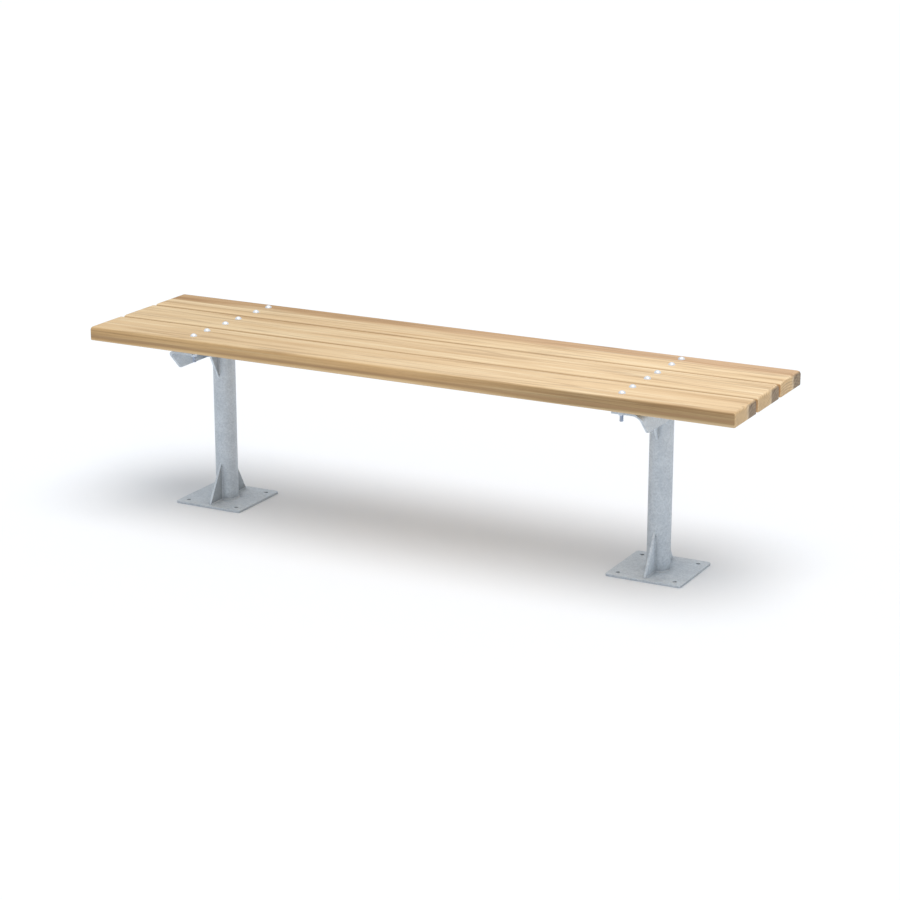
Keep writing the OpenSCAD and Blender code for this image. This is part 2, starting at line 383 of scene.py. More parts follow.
def long_grain(m, own, painted_light_to_right, late_wood, streak, fibre):
    """Bands, streaks, veins and fibres along the plank, wider on its face than on its edge, under painted
    shade that grows towards the left end.
    """
    colours = bpy.context.scene.bench_colours
    broad = m.noise(m.stretch(own, 0.8, 15, 45), detail=2)
    gleam = m.noise(m.stretch(m.vector("ADD", own, (3, 1, 2)), 2.4, 60, 150), detail=2)
    vein = m.noise(m.stretch(own, 0.9, 24, 90), detail=2, rough=0.5)
    pore = m.noise(m.stretch(own, 28, 1300, 1300), detail=1)
    light = m.mix(m.ramp(broad, [(0.38, 0.0), (0.62, 1.0)]), colours.timber_light, colours.timber_mid)
    grain = m.mix(m.ramp(gleam, [(0.54, 0.0), (0.66, 0.85)]), light, colours.timber_pale)
    grain = m.mix(m.ramp(streak, [(0.5, 0.0), (0.7, 0.85)]), grain, colours.timber_dark)
    grain = m.mix(m.maths("MULTIPLY", late_wood, 0.2), grain, colours.timber_dark)
    thin_vein = m.ramp(vein, [(0.45, 0.0), (0.49, 0.42), (0.53, 0.0)], smooth=True)
    grain = m.mix(thin_vein, grain, colours.timber_vein)
    grain = m.mix(m.ramp(fibre, [(0.35, 0.0), (0.7, 0.25)]), grain, colours.timber_dark)
    grain = m.mix(m.ramp(pore, [(0.6, 0.0), (0.7, 0.3)]), grain, colours.timber_vein)
    # painted shade, darkest at the left end and none at the right end
    return m.tinted(grain, m.mix(painted_light_to_right, colours.painted_shade_left_end, colours.painted_shade_right_end))


def heart_side(m, grain, own, across, painted_light_to_right, warmth):
    """Reddish heartwood, which takes up the rear of some planks, painted paler and a little pinker towards
    the right end.
    """
    colours = bpy.context.scene.bench_colours
    drift = m.maths("MULTIPLY", m.maths("SUBTRACT", m.noise(m.stretch(own, 1.2, 0, 0)), 0.5), 0.08)
    rearward = m.from_middle(m.maths("ADD", across, drift))
    heartwood = m.maths("MULTIPLY", m.ramp(rearward, [(0.495, 0.0), (0.515, 1.0)]), warmth)
    # painted light: the heartwood's tint turns paler towards the right end, and a little pinker
    reddish = m.mix(painted_light_to_right, colours.heart_tint, colours.heart_tint_painted_light)
    return m.mix(heartwood, grain, m.tinted(grain, reddish))


def seat_front(m, grain, own, along, up, rearwards):
    """The front of the seat carries painted shade, a tone darker and partly a browner wood, growing towards
    the right end, with a dark vein low down and a lighter strip below.
    """
    colours = bpy.context.scene.bench_colours
    side = m.ramp(m.maths("ABSOLUTE", rearwards), [(0.5, 0.0), (0.9, 1.0)])
    # painted shade on the front plank's front and rear faces, partly a browner tone of the wood, deepening
    # from the middle to the right end
    shade_deepens = m.ramp(m.from_middle(along), [(0.5, 0.0), (1.0, 1.0)])
    grain = m.mix(side, grain, m.tinted(grain, m.mix(shade_deepens, colours.front_painted_shade, colours.front_painted_shade_deep)))
    rise = m.maths("MULTIPLY", m.maths("SUBTRACT", m.noise(m.stretch(own, 1.6, 0, 0)), 0.5), 0.012)
    level = m.from_middle(m.maths("ADD", up, rise))
    low_vein = m.ramp(level, [(0.4895, 0.0), (0.4925, 1.0), (0.4960, 0.7), (0.5000, 0.0)], smooth=True)
    strength = m.ramp(m.noise(m.stretch(own, 1.1, 0, 0)), [(0.45, 1.0), (0.65, 0.7)])
    low_vein = m.maths("MULTIPLY", m.maths("MULTIPLY", low_vein, strength), side)
    grain = m.mix(low_vein, grain, colours.timber_vein)
    low_strip = m.maths("MULTIPLY", m.ramp(level, [(0.4835, 0.45), (0.4880, 0.0)]), side)
    return m.mix(low_strip, grain, colours.timber_light)


def inner_edges(m, grain, rearwards):
    """The eased edges that face the front get painted light, a little paler, and the flanks between the
    planks get browner painted shade.
    """
    colours = bpy.context.scene.bench_colours
    forwards = m.maths("MULTIPLY", rearwards, -1.0)
    # painted light on the rounded edges that face the front
    eased = m.ramp(forwards, [(0.15, 0.0), (0.45, 0.4), (0.8, 0.4), (0.95, 0.0)])
    grain = m.mix(eased, grain, colours.timber_pale)
    # painted shade on the faces that look to the front or back: the flanks between the planks and the back
    # of the seat
    flank = m.ramp(m.maths("ABSOLUTE", rearwards), [(0.8, 0.0), (0.97, 1.0)])
    return m.mix(flank, grain, m.tinted(grain, colours.between_planks_painted_shade))


def cut_end(m, own, across, late_wood):
    """The ends show the rings, the rays and dark heartwood at the rear, beside a pale strip."""
    colours = bpy.context.scene.bench_colours
    place_across = m.from_middle(across)
    sap = m.mix(m.maths("MULTIPLY", late_wood, 0.7), colours.end_light, colours.timber_vein)
    sap = m.mix(m.ramp(place_across, [(0.502, 0.0), (0.511, 0.5)]), sap, colours.end_pale)
    heart = m.mix(m.maths("MULTIPLY", late_wood, 0.5), colours.end_heart, colours.end_heart_ring)
    in_heart = m.ramp(place_across, [(0.514, 0.0), (0.521, 1.0)])
    cut = m.mix(in_heart, sap, heart)
    slanted = m.vector("ADD", own, m.vector("MULTIPLY", m.swapped(own), (0, 1, -1)))
    ray = m.noise(m.stretch(slanted, 0, 30, 120), detail=2, rough=0.6)
    strength = m.ramp(in_heart, [(0.0, 0.4), (1.0, 0.9)])
    rays = m.maths("MULTIPLY", m.ramp(ray, [(0.38, 0.0), (0.64, 1.0)]), strength)
    return m.mix(rays, cut, m.tinted(cut, colours.ray_tint))


def galvanised(name, tone):
    """Hot-dip galvanised steel: crystals, cloudy patches and grit, with painted highlights along the edges
    and painted shade in the corners.

    tone is how bright the coat is painted against the plate's coat; below 1 it paints shade on the pieces
    that wear it."""
    colours = bpy.context.scene.bench_colours
    m = Finish(name)
    place = m.node("TexCoord", {}).outputs["Object"]
    bend = m.vector("MULTIPLY", m.noise(place, 90, output="Color"), (0.006, 0.006, 0.006))
    cell = m.node("TexVoronoi", {"Vector": m.vector("ADD", place, bend), "Scale": 150}).outputs["Color"]
    crystal = m.node("SeparateXYZ", {0: cell}).outputs[0]
    cloud = m.noise(place, 26, detail=4, rough=0.65)
    mottle = m.noise(place, 210, detail=2, rough=0.6)
    grit = m.noise(place, 900, detail=2)
    zinc = m.mix(m.ramp(cloud, [(0.35, 0.0), (0.7, 1.0)]), colours.zinc_light, colours.zinc_dark)
    zinc = m.mix(m.maths("MULTIPLY", crystal, 0.5), zinc, colours.zinc_crystal)
    zinc = m.mix(m.ramp(mottle, [(0.4, 0.0), (0.68, 0.55)]), zinc, colours.zinc_dull)
    zinc = m.mix(m.ramp(grit, [(0.5, 0.0), (0.75, 0.4)]), zinc, colours.zinc_dark)
    # painted highlight: the coat turns lighter where the Bevel node finds a rounded edge
    rounded = m.node("Bevel", {"Radius": 0.0016}, samples=4).outputs[0]
    true_normal = m.node("NewGeometry", {}).outputs["True Normal"]
    flatness = m.vector("DOT_PRODUCT", rounded, true_normal, output="Value")
    edge = m.maths("SUBTRACT", 1.0, flatness, clamp=True)
    zinc = m.mix(m.ramp(edge, [(0.01, 0.0), (0.12, 0.45)]), zinc, colours.zinc_edge_highlight)
    # painted shade: ambient occlusion darkens the coat in corners, beside the welds and gussets
    openness = m.node("AmbientOcclusion", {"Distance": 0.02}, samples=4).outputs["AO"]
    corner = m.ramp(openness, [(0.4, 0.3), (0.95, 0.0)])
    # tone paints the whole coat darker, as shade, on the pieces that wear a lower one
    zinc = m.tinted(zinc, m.mix(corner, (tone, tone, tone), (0, 0, 0)))
    relief = m.maths("ADD", m.maths("MULTIPLY", mottle, 0.6), m.maths("MULTIPLY", grit, 0.3))
    m.put(m.shader, {
        "Base Color": zinc,
        "Metallic": 0.45,
        "Roughness": m.ramp(crystal, [(0.0, 0.5), (1.0, 0.66)]),
        "Normal": m.bump(relief, 0.4, 0.0003),
    })
    return m.material


def zinc_plated(name, colour, metallic, rough, film_tone):
    """Bright zinc plating on a fastener, with fine turning marks and a duller film in patches."""
    m = Finish(name)
    place = m.node("TexCoord", {}).outputs["Object"]
    film = m.noise(place, 240, detail=3)
    marks = m.noise(m.vector("MULTIPLY", place, (600, 600, 5000)), detail=1)
    darker = tuple(c * film_tone for c in colour)
    m.put(m.shader, {
        "Base Color": m.mix(m.ramp(film, [(0.4, 0.0), (0.7, 1.0)]), tuple(colour), darker),
        "Metallic": metallic,
        "Roughness": m.ramp(film, [(0.3, rough), (0.8, rough + 0.12)]),
        "Normal": m.bump(marks, 0.12, 0.0001),
    })
    return m.material


def wear(piece, *materials):
    """Gives a piece its materials, in the order of its slots."""
    piece.data.materials.clear()
    for material in materials:
        piece.data.materials.append(material)


# How bright each coat is painted against the plate's: the posts with their welds and the arms are painted
# darker as shade, the holes a little, and the left gussets carry painted shade while the right ones are
# painted as lit as the plates
ZINC_TONES = {
    "zinc_on_plate": 1.0,
    "zinc_in_hole": 0.95,
    # painted shade on the plates' ends that face along X
    "zinc_shaded_ends": 0.85,
    "zinc_on_post": 0.85,
    "zinc_on_arm": 0.86,
    "zinc_on_left_gusset": 0.62,
    "zinc_on_right_gusset": 1.0,
}


def zinc_coat(name):
    """One of the zinc coats that several pieces share."""
    return bpy.data.materials.get(name) or galvanised(name, ZINC_TONES[name])


# ---- Sizes and colours that a user would change ----

def length_setting(name, description, default):
    return bpy.props.FloatProperty(
        name=name, description=description, default=default, min=0.0, unit="LENGTH", precision=5
    )


def colour_setting(name, description, default):
    return bpy.props.FloatVectorProperty(
        name=name, description=description, default=default, min=0.0, soft_max=1.0, subtype="COLOR"
    )


class BenchSizes(bpy.types.PropertyGroup):
    """Sizes of details that the frame leaves plain."""

    top_ease: length_setting("Top ease", "Radius of the eased edges round a plank's top", 9 * MM)
    under_ease: length_setting("Under ease", "Radius of the eased edges round a plank's underside", 3 * MM)
    plank_corner: length_setting("Plank corner", "Radius of a plank's corners, seen from above", 4 * MM)
    ring_width: length_setting("Ring width", "Width of one year's growth ring", 7.2 * MM)
    hole_gap: length_setting("Hole gap", "Gap round a bolt in its hole", 0.6 * MM)
    pocket_gap: length_setting("Pocket gap", "Gap round a bolt's square neck in the plank", 0.3 * MM)
    plate_corner: length_setting("Plate corner", "Radius of a base plate's corners", 8 * MM)
    plate_edge: length_setting("Plate edge", "Radius that the zinc leaves along a plate's edges", 0.7 * MM)
    bend_inside: length_setting("Bend inside", "Radius inside the cross arm's bend", 15.9 * MM)
    ripple: length_setting("Ripple", "Length of one ripple of a weld bead", 2.4 * MM)
    shank: length_setting("Shank", "Nominal diameter of the bolts, 3/8 in", 9.525 * MM)
    neck: length_setting("Neck", "Length of a bolt's square neck", 6 * MM)
    thread: length_setting("Thread", "Length of a bolt's thread", 32 * MM)
    thread_pitch: length_setting("Thread pitch", "Pitch of a bolt's thread", 1.5875 * MM)
    tip_chamfer: length_setting("Tip chamfer", "Chamfer round a bolt's tip", 1.2 * MM)


class BenchColours(bpy.types.PropertyGroup):
    """Colours of the timber and the zinc."""

    # also the painted light on the eased edges between the planks
    timber_pale: colour_setting("Timber, pale", "Pale gleaming streaks", (0.95, 0.78, 0.52))
    timber_light: colour_setting("Timber, light", "Light early wood", (0.90, 0.70, 0.44))
    timber_mid: colour_setting("Timber, middle", "Honey-coloured wood", (0.83, 0.61, 0.36))
    timber_dark: colour_setting("Timber, dark", "Darker streaks and late wood", (0.62, 0.41, 0.215))
    timber_vein: colour_setting("Timber, vein", "Thin dark veins and pores", (0.37, 0.225, 0.11))
    heart_tint: colour_setting("Heart tint", "Reddish tint of the heartwood", (0.72, 0.62, 0.53))
    # painted light: the heartwood's tint at the right end, paler and a little pinker
    heart_tint_painted_light: colour_setting("Heart tint, pale", "The same at the right end", (0.76, 0.66, 0.62))
    # painted shade at the seat's left end, fading to none at the right end
    painted_shade_left_end: colour_setting("Left tint", "Tint of the seat's left end", (0.83, 0.82, 0.78))
    painted_shade_right_end: colour_setting("Right tint", "Tint of the seat's right end", (1.0, 1.0, 1.0))
    # painted shade on the front plank's faces, partly a browner tone, growing at the right end
    front_painted_shade: colour_setting("Side tint", "Tint of the seat's front", (0.84, 0.75, 0.62))
    front_painted_shade_deep: colour_setting("Side tint, deep", "The same at the right end", (0.50, 0.44, 0.35))
    # painted shade on the faces between the planks
    between_planks_painted_shade: colour_setting("Flank tint", "Tint of the faces between the planks", (0.80, 0.66, 0.52))
    end_light: colour_setting("End, light", "End grain of the sapwood", (0.72, 0.51, 0.27))
    end_pale: colour_setting("End, pale", "Pale strip beside the heartwood", (0.72, 0.58, 0.41))
    end_heart: colour_setting("End, heart", "End grain of the heartwood", (0.36, 0.265, 0.165))
    end_heart_ring: colour_setting("End, heart ring", "Late wood in the heartwood", (0.14, 0.095, 0.06))
    ray_tint: colour_setting("Ray tint", "Tint of the rays on the ends", (0.50, 0.43, 0.37))
    zinc_light: colour_setting("Zinc, light", "Zinc coat, light patches", (0.72, 0.785, 0.845))
    zinc_dark: colour_setting("Zinc, dark", "Zinc coat, dull patches", (0.58, 0.64, 0.70))
    zinc_dull: colour_setting("Zinc, dull", "Small dull spots", (0.49, 0.545, 0.60))
    zinc_crystal: colour_setting("Zinc, crystal", "Brighter crystals of the zinc coat", (0.87, 0.915, 0.955))
    # painted highlight along the edges of the galvanised steel
    zinc_edge_highlight: colour_setting("Zinc, edge", "Zinc along the edges", (0.90, 0.95, 1.0))
    head: colour_setting("Bolt head", "Bright plating of the bolt heads", (0.84, 0.89, 0.96))
    thread: colour_setting("Thread", "Plating of the threads", (0.62, 0.68, 0.78))
    nut: colour_setting("Nut", "Plating of nuts and washers", (0.66, 0.72, 0.80))


class BenchStage(bpy.types.PropertyGroup):
    """Camera, light and floor."""

    azimuth: bpy.props.FloatProperty(
        name="Azimuth", description="Camera's turn from the front to the right", subtype="ANGLE",
        default=math.radians(27.81),
    )
    elevation: bpy.props.FloatProperty(
        name="Elevation", description="Camera's angle above the horizon", subtype="ANGLE",
        default=math.radians(16.52),
    )
    distance: length_setting("Distance", "From the camera to the point it looks at", 6.27)
    lens: bpy.props.FloatProperty(
        name="Lens", description="Focal length", subtype="DISTANCE_CAMERA", default=96.98
    )
    aim: bpy.props.FloatVectorProperty(
        name="Aim", description="Point the camera looks at, from the bench's middle", subtype="XYZ",
        unit="LENGTH", default=(0.0494, 0.0, -0.0209),
    )
    sky: bpy.props.FloatProperty(
        name="Sky", description="Strength of the light from all round", default=0.645
    )
    sky_colour: colour_setting("Sky colour", "Cool light from all round", (0.955, 1.0, 1.05))
    key: bpy.props.FloatProperty(name="Key", description="Strength of the key light", default=1.63)
    key_colour: colour_setting("Key colour", "Warm key light", (1.06, 1.0, 0.94))
    key_softness: bpy.props.FloatProperty(
        name="Key softness", description="Angle that the key light fills", subtype="ANGLE",
        default=math.radians(48),
    )
    key_direction: bpy.props.FloatVectorProperty(
        name="Key direction", description="Way the key light travels", subtype="DIRECTION",
        default=(-0.15, 0.08, -1),
    )
    floor_colour: colour_setting("Floor colour", "Pale floor", (0.87, 0.90, 0.94))
    floor_size: length_setting("Floor size", "Width of the floor", 400)


# ---- The bench's pieces ----

class BENCH_OT_planks(bpy.types.Operator):
    """Model the three planks with their eased edges and bolt holes"""

    bl_idname = "bench.planks"
    bl_label = "Planks"

    def execute(self, context):
        looks = {
            "front_plank": {"pith": (0.05, -0.22), "turn": 3.1, "warmth": 0.0, "outermost": True},
            "middle_plank": {"pith": (0.08, -0.19), "turn": 7.9, "warmth": 0.0, "outermost": False},
            "rear_plank": {"pith": (-0.04, -0.24), "turn": 12.4, "warmth": 1.0, "outermost": False},
        }
        for node, look in looks.items():
            board = self.board(context.scene.bench_sizes, node)
            wear(board, timber("timber_" + node, centre(node), **look))
            finish_mesh(board)
            stands_for(board, "timber", node)
        return {"FINISHED"}

    def board(self, sizes, node):
        low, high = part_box(node)
        board = block("eased_" + node, low, high)
        self.weigh(board, 1.0, lambda a, b: min(a.z, b.z) > high.z - NEAR)
        self.weigh(board, sizes.under_ease / sizes.top_ease, lambda a, b: max(a.z, b.z) < low.z + NEAR)
        self.weigh(board, sizes.plank_corner / sizes.top_ease, lambda a, b: abs(a.z - b.z) > NEAR)
        modify(board, "BEVEL", width=sizes.top_ease, segments=6, limit_method="WEIGHT")
        self.drill(sizes, board, low, high)
        return board

    def weigh(self, board, weight, test):
        """Sets how far the edges that pass the test are eased, as a share of the top's ease."""
        select_edges(board, test)
        bpy.ops.transform.edge_bevelweight(value=weight)
        bpy.ops.object.mode_set(mode="OBJECT")

    def drill(self, sizes, board, low, high):
        """The four bolt holes, with the pockets that the square necks are drawn into."""
        hole_r = shank_radius() + sizes.hole_gap
        pocket = shank_radius() + sizes.pocket_gap
        corner = Vector((pocket, pocket, 0))
        foot = Vector((0, 0, high.z - sizes.neck))
        lid = Vector((0, 0, high.z + MM))
        holes, pockets = [], []
        for side in SIDES:
            for x, y in bolt_places(side):
                if low.y < y < high.y:
                    holes.append(rod("hole", (x, y), hole_r, low.z - MM, high.z + MM))
                    middle = Vector((x, y, 0))
                    pockets.append(block("pocket", middle - corner + foot, middle + corner + lid))
        combine(board, join(holes))
        combine(board, join(pockets))


class BENCH_OT_base_plates(bpy.types.Operator):
    """Model the two base plates with their anchor holes"""

    bl_idname = "bench.base_plates"
    bl_label = "Base Plates"

    def execute(self, context):
        sizes = context.scene.bench_sizes
        for side in SIDES:
            node = f"{side}_base_plate"
            low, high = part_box(node)
            plate = block("rounded_" + node, low, high)
            select_edges(plate, lambda a, b: abs(a.z - b.z) > MM)
            bpy.ops.mesh.bevel(offset=sizes.plate_corner, segments=8, affect="EDGES")
            bpy.ops.object.mode_set(mode="OBJECT")
            combine(plate, self.anchor_holes(side, low, high))
            soften(plate, sizes.plate_edge)
            wear(plate, zinc_coat("zinc_on_plate"), zinc_coat("zinc_in_hole"), zinc_coat("zinc_shaded_ends"))
            for face in plate.data.polygons:
                face.material_index = self.coat_of(face, low, high)
            finish_mesh(plate)
            stands_for(plate, "galvanised_steel", node)
        return {"FINISHED"}

    def coat_of(self, face, low, high):
        """0 for the coat on the plate, 1 inside the holes and 2 on the ends that face along X, which carry
        painted shade.
        """
        rim = 5 * MM
        if abs(face.normal.z) > 0.8:
            return 0
        if all(low[axis] + rim < face.center[axis] < high[axis] - rim for axis in (0, 1)):
            return 1
        return 2 if abs(face.normal.x) > 0.8 else 0

    def anchor_holes(self, side, low, high):
        mount = next(m for m in frame["record"]["mounts"] if m["name"] == f"{side}_anchor_holes")
        x, y, _ = mount["pos_m"]
        dims = mount["dims"]
        hole_r = dims["hole_r_mm"] * MM
        half_x, half_y = dims["spacing_x_mm"] * MM / 2, dims["spacing_y_mm"] * MM / 2
        places = [(x + i * half_x, y + j * half_y) for i in (-1, 1) for j in (-1, 1)]
        return join([rod("hole", place, hole_r, low.z - MM, high.z + MM) for place in places])


class BENCH_OT_gussets(bpy.types.Operator):
    """Model the eight three-cornered gussets"""

    bl_idname = "bench.gussets"
    bl_label = "Gussets"

    def execute(self, context):
        sizes = context.scene.bench_sizes
        for side in SIDES:
            for end in ENDS:
                for level in ("base", "arm"):
                    node = f"{side}_{end}_{level}_gusset"
                    gusset = self.gusset(node, ENDS[end], level == "base")
                    soften(gusset, sizes.plate_edge)
                    wear(gusset, zinc_coat(f"zinc_on_{side}_gusset"), zinc_coat("zinc_on_plate"))
                    # painted light: the faces take the side's coat, and the edges take the plate's coat,
                    # lighter than the shaded faces of the left gussets
                    for face in gusset.data.polygons:
                        face.material_index = 0 if abs(face.normal.x) > 0.7 else 1
                    finish_mesh(gusset)
                    stands_for(gusset, "galvanised_steel", node)
        return {"FINISHED"}

    def gusset(self, node, end, upright):
        """A plate cut off along the slope from its foot's toe to its tip on the post."""
        low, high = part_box(node)
        gusset = block("softened_" + node, low, high)
        toe_y, tip_y = (low.y, high.y) if end < 0 else (high.y, low.y)
        toe_z, tip_z = (low.z, high.z) if upright else (high.z, low.z)
        slope = Vector((0, tip_y - toe_y, tip_z - toe_z))
        outward = Vector((0, slope.z, -slope.y)).normalized()
        if outward.y * end < 0:
            outward = -outward
        slice_off(gusset, (low.x, toe_y, toe_z), outward)
        return gusset


class BENCH_OT_cross_arms(bpy.types.Operator):
    """Model the two bent cross arms"""

    bl_idname = "bench.cross_arms"
    bl_label = "Cross Arms"

    def execute(self, context):
        sizes = context.scene.bench_sizes
        for side, out in SIDES.items():
            node = f"{side}_cross_arm"
            low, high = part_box(node)
            arm = self.bent_plate(node, low, high, out, sizes.bend_inside + plate_thickness())
            for end in ENDS.values():
                corner = Vector((0, low.y if end < 0 else high.y, high.z - plate_thickness()))
                slice_off(arm, corner, Vector((0, end, -1)).normalized())
            hole_r = shank_radius() + sizes.hole_gap
            bottom, top = high.z - 10 * MM, high.z + MM
            holes = [rod("hole", place, hole_r, bottom, top) for place in bolt_places(side)]
            combine(arm, join(holes))
            soften(arm, sizes.plate_edge)
            wear(arm, zinc_coat("zinc_on_arm"))
            finish_mesh(arm)
            stands_for(arm, "galvanised_steel", node)
        return {"FINISHED"}

    def bent_plate(self, node, low, high, out, bend):
        """The outer skin of the L section, bent round its long edge and thickened inwards."""
        arm = block("bent_" + node, low, high)
        outer_x = high.x if out > 0 else low.x

        def on_corner(point):
            return abs(point.x - outer_x) < NEAR and high.z - point.z < NEAR

        select_edges(arm, lambda a, b: on_corner(a) and on_corner(b))
        bpy.ops.mesh.bevel(offset=bend, segments=10, affect="EDGES")
        select_faces(arm, lambda f: f.normal.z < -0.9 or abs(f.normal.y) > 0.9 or f.normal.x * out < -0.9)
        bpy.ops.mesh.delete(type="FACE")
        bpy.ops.object.mode_set(mode="OBJECT")
        modify(arm, "SOLIDIFY", thickness=plate_thickness(), offset=-1, use_even_offset=True)
        return arm


class BENCH_OT_posts(bpy.types.Operator):
    """Give the two pipe posts their zinc coat"""

    bl_idname = "bench.posts"
    bl_label = "Posts"

    def execute(self, context):
        for side in SIDES:
            wear(frame["nodes"][f"{side}_post"], zinc_coat("zinc_on_post"))
        return {"FINISHED"}


class BENCH_OT_welds(bpy.types.Operator):
    """Model the rippled weld beads on the right leg, and mirror them to the left one"""

    bl_idname = "bench.welds"
    bl_label = "Weld Beads"

    # Shares of the weld's leg
    bead_radius = 0.85
    ripple_depth = 0.16

    def execute(self, context):
        self.ripple = context.scene.bench_sizes.ripple
        low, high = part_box("right_post")
        self.post = (low + high) / 2
        self.post_r = (high.y - low.y) / 2
        self.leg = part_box("right_base_welds")[1].x - self.post.x - self.post_r
        foot = self.ring(low.z, (0, 0, -1))
        for level, beads in (("base", [foot]), ("arm", self.arm_beads())):
            right = join(beads + self.gusset_beads(level))
            left = copied(right, scale=(-1, 1, 1))
            for side, piece in (("left", left), ("right", right)):
                piece.name = piece.data.name = f"rippled_{side}_{level}_welds"
                wear(piece, zinc_coat("zinc_on_post"))
                finish_mesh(piece)
                stands_for(piece, "galvanised_steel", f"{side}_{level}_welds")
        return {"FINISHED"}

    def rippled(self, bead, place_of):
        """Draws in every second ring of a bead's points."""
        select_points(bead, lambda p: round(place_of(p)) % 2 == 1)
        bpy.ops.transform.shrink_fatten(value=-self.ripple_depth * self.leg)
        bpy.ops.object.mode_set(mode="OBJECT")
        return bead

    def bead(self, start, end, *buried):
        """A straight bead; what lies outwards of the buried directions is inside the steel."""
        start, end = Vector(start), Vector(end)
        run = end - start
        select_nothing()
        bpy.ops.mesh.primitive_cylinder_add(
            vertices=12, radius=self.bead_radius * self.leg, depth=run.length,
            location=(start + end) / 2, rotation=run.to_track_quat("Z", "Y").to_euler(),
        )
        bead = named("bead")
        rings = 2 * round(run.length / self.ripple)
        select_edges(bead, lambda a, b: (a - b).length > 0.9 * run.length)
        bpy.ops.mesh.subdivide(number_cuts=rings - 1)
        bpy.ops.object.mode_set(mode="OBJECT")
        self.rippled(bead, lambda p: (p - start).dot(run) / run.length_squared * rings)
        for outward in buried:
            slice_off(bead, start, outward)
        return bead

    def ring(self, height, *buried):
        """A bead all round the post."""
        rings = 2 * round(math.tau * self.post_r / self.ripple)
        select_nothing()
        bpy.ops.mesh.primitive_torus_add(
            major_radius=self.post_r, minor_radius=self.bead_radius * self.leg,
            major_segments=rings, minor_segments=12, location=(self.post.x, 0, height),
        )
        ring = named("ring")
        self.rippled(ring, lambda p: math.atan2(p.y, p.x - self.post.x) / math.tau * rings)
        for outward in buried:
            slice_off(ring, (self.post.x, 0, height), outward)
        return ring

    def gusset_beads(self, level):
        """The beads along the foot and up the post, on both faces of both gussets."""
        low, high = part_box(f"right_front_{level}_gusset")
        into, height = (-1, low.z) if level == "base" else (1, high.z)
        upright = (high.z - low.z) * (1 - 2 * self.leg / (high.y - low.y))
        post_y = -math.sqrt(self.post_r ** 2 - (high.x - self.post.x) ** 2)
        corner = (high.x, post_y, height)
        foot = self.bead(corner, (high.x, low.y + self.leg, height), (-1, 0, 0), (0, 0, into))
        up = self.bead(corner, (high.x, post_y, height - into * upright), (-1, 0, 0), (0, 1, 0))
        one_face = join([foot, up])
        both_faces = join([one_face, copied(one_face, (2 * self.post.x, 0, 0), scale=(-1, 1, 1))])
        return [both_faces, copied(both_faces, scale=(1, -1, 1))]

    def arm_beads(self):
        """The beads where the arm's skirt is let into the post, and the stitch on its inner side."""
        low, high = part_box("right_cross_arm")
        skirt_x = high.x - plate_thickness()
        under_arm = high.z - plate_thickness()
        stitch = self.ring(under_arm, (0, 0, 1))
        stitch_half = 0.6 * self.post_r
        for outward in (-1, 1):
            slice_off(stitch, (0, outward * stitch_half, 0), (0, outward, 0))
        slice_off(stitch, self.post, (1, 0, 0))
        notch_x = skirt_x - self.post.x
        notch_y = math.sqrt(self.post_r ** 2 - notch_x ** 2)
        under_skirt = self.ring(low.z, (0, 0, 1))
        slice_off(under_skirt, (high.x, 0, 0), (1, 0, 0))
        past_notch = math.atan2(notch_y, notch_x) + 0.5 * self.leg / self.post_r
        for outward in (-1, 1):
            along_ring = Vector((-math.sin(past_notch), outward * math.cos(past_notch), 0))
            slice_off(under_skirt, (self.post.x, 0, 0), along_ring)
        top = under_arm - bpy.context.scene.bench_sizes.bend_inside
        foot = low.z - 0.6 * self.leg
        side = self.bead((skirt_x, notch_y, foot), (skirt_x, notch_y, top), (1, 0, 0))
        return [stitch, under_skirt, side, copied(side, scale=(1, -1, 1))]


